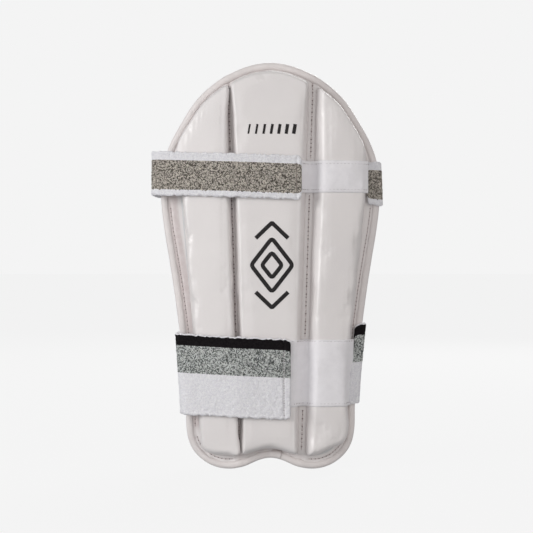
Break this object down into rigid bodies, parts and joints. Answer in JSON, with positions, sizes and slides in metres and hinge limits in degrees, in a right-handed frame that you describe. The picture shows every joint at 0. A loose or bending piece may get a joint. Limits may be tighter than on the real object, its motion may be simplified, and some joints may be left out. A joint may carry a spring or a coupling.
{
  "type": "cricket forearm guard",
  "caption": "Padded forearm guard for cricket batting: bolstered panels hinged along stitched channels, closed round the arm by towelling straps with hook and loop tabs.",
  "frame": {"origin": "middle of the centre panel's lining, where the forearm rests, 152 mm above the lower edge", "axes": "+Z towards the rounded elbow end, +Y out of the lining towards the forearm and the straps' back bands, +X to the right as seen from the front"},
  "size_m": [0.1769, 0.0747, 0.3051],
  "materials": {
    "cover": "satin",
    "binding": "satin",
    "lining": "matte",
    "base_foam": "matte",
    "bolster_foam": "matte",
    "shield": "satin",
    "thread": "matte",
    "loop_tape": "matte",
    "hook_tape": "matte",
    "upper_strap": "matte",
    "lower_strap": "matte"
  },
  "bodies": {
    "centre_panel": {"centre_lining": "lining", "centre_base_foam": "base_foam", "centre_shield": "shield", "centre_bolster": "bolster_foam", "centre_cover": "cover", "binding_top": "binding", "binding_bottom": "binding", "left_channel_thread": "thread", "right_channel_thread": "thread", "upper_loop_tape_centre": "loop_tape", "lower_loop_tape_centre": "loop_tape", "upper_strap_band": "upper_strap", "lower_strap_band": "lower_strap"},
    "left_wing": {"left_lining": "lining", "left_base_foam": "base_foam", "left_shield": "shield", "left_bolster": "bolster_foam", "left_cover": "cover", "left_binding": "binding", "left_margin_thread": "thread"},
    "right_wing": {"right_lining": "lining", "right_base_foam": "base_foam", "right_shield": "shield", "right_bolster": "bolster_foam", "right_cover": "cover", "right_binding": "binding", "right_margin_thread": "thread", "upper_loop_tape_right": "loop_tape", "lower_loop_tape_right": "loop_tape", "upper_strap_anchor": "upper_strap", "lower_strap_anchor": "lower_strap"},
    "upper_tab": {"upper_strap_tab": "upper_strap", "upper_hook_patch": "hook_tape"},
    "lower_tab": {"lower_strap_tab": "lower_strap", "lower_hook_patch": "hook_tape"}
  },
  "joints": [
    {"name": "left_wing_fold", "type": "hinge", "parent": "centre_panel", "child": "left_wing", "pos_m": [-0.02676, 0, 0], "axis": [0.0313, 0, -0.9995], "range_deg": [0, 20]},
    {"name": "right_wing_fold", "type": "hinge", "parent": "centre_panel", "child": "right_wing", "pos_m": [0.02676, 0, 0], "axis": [0.0313, 0, 0.9995], "range_deg": [0, 20]},
    {"name": "upper_tab_peel", "type": "hinge", "parent": "centre_panel", "child": "upper_tab", "pos_m": [-0.08815, -0.0022, 0.06975], "axis": [0, 0, -1], "range_deg": [0, 120]},
    {"name": "lower_tab_peel", "type": "hinge", "parent": "centre_panel", "child": "lower_tab", "pos_m": [-0.06825, -0.0022, -0.08], "axis": [0.0682, 0, -0.9977], "range_deg": [0, 120]}
  ]
}
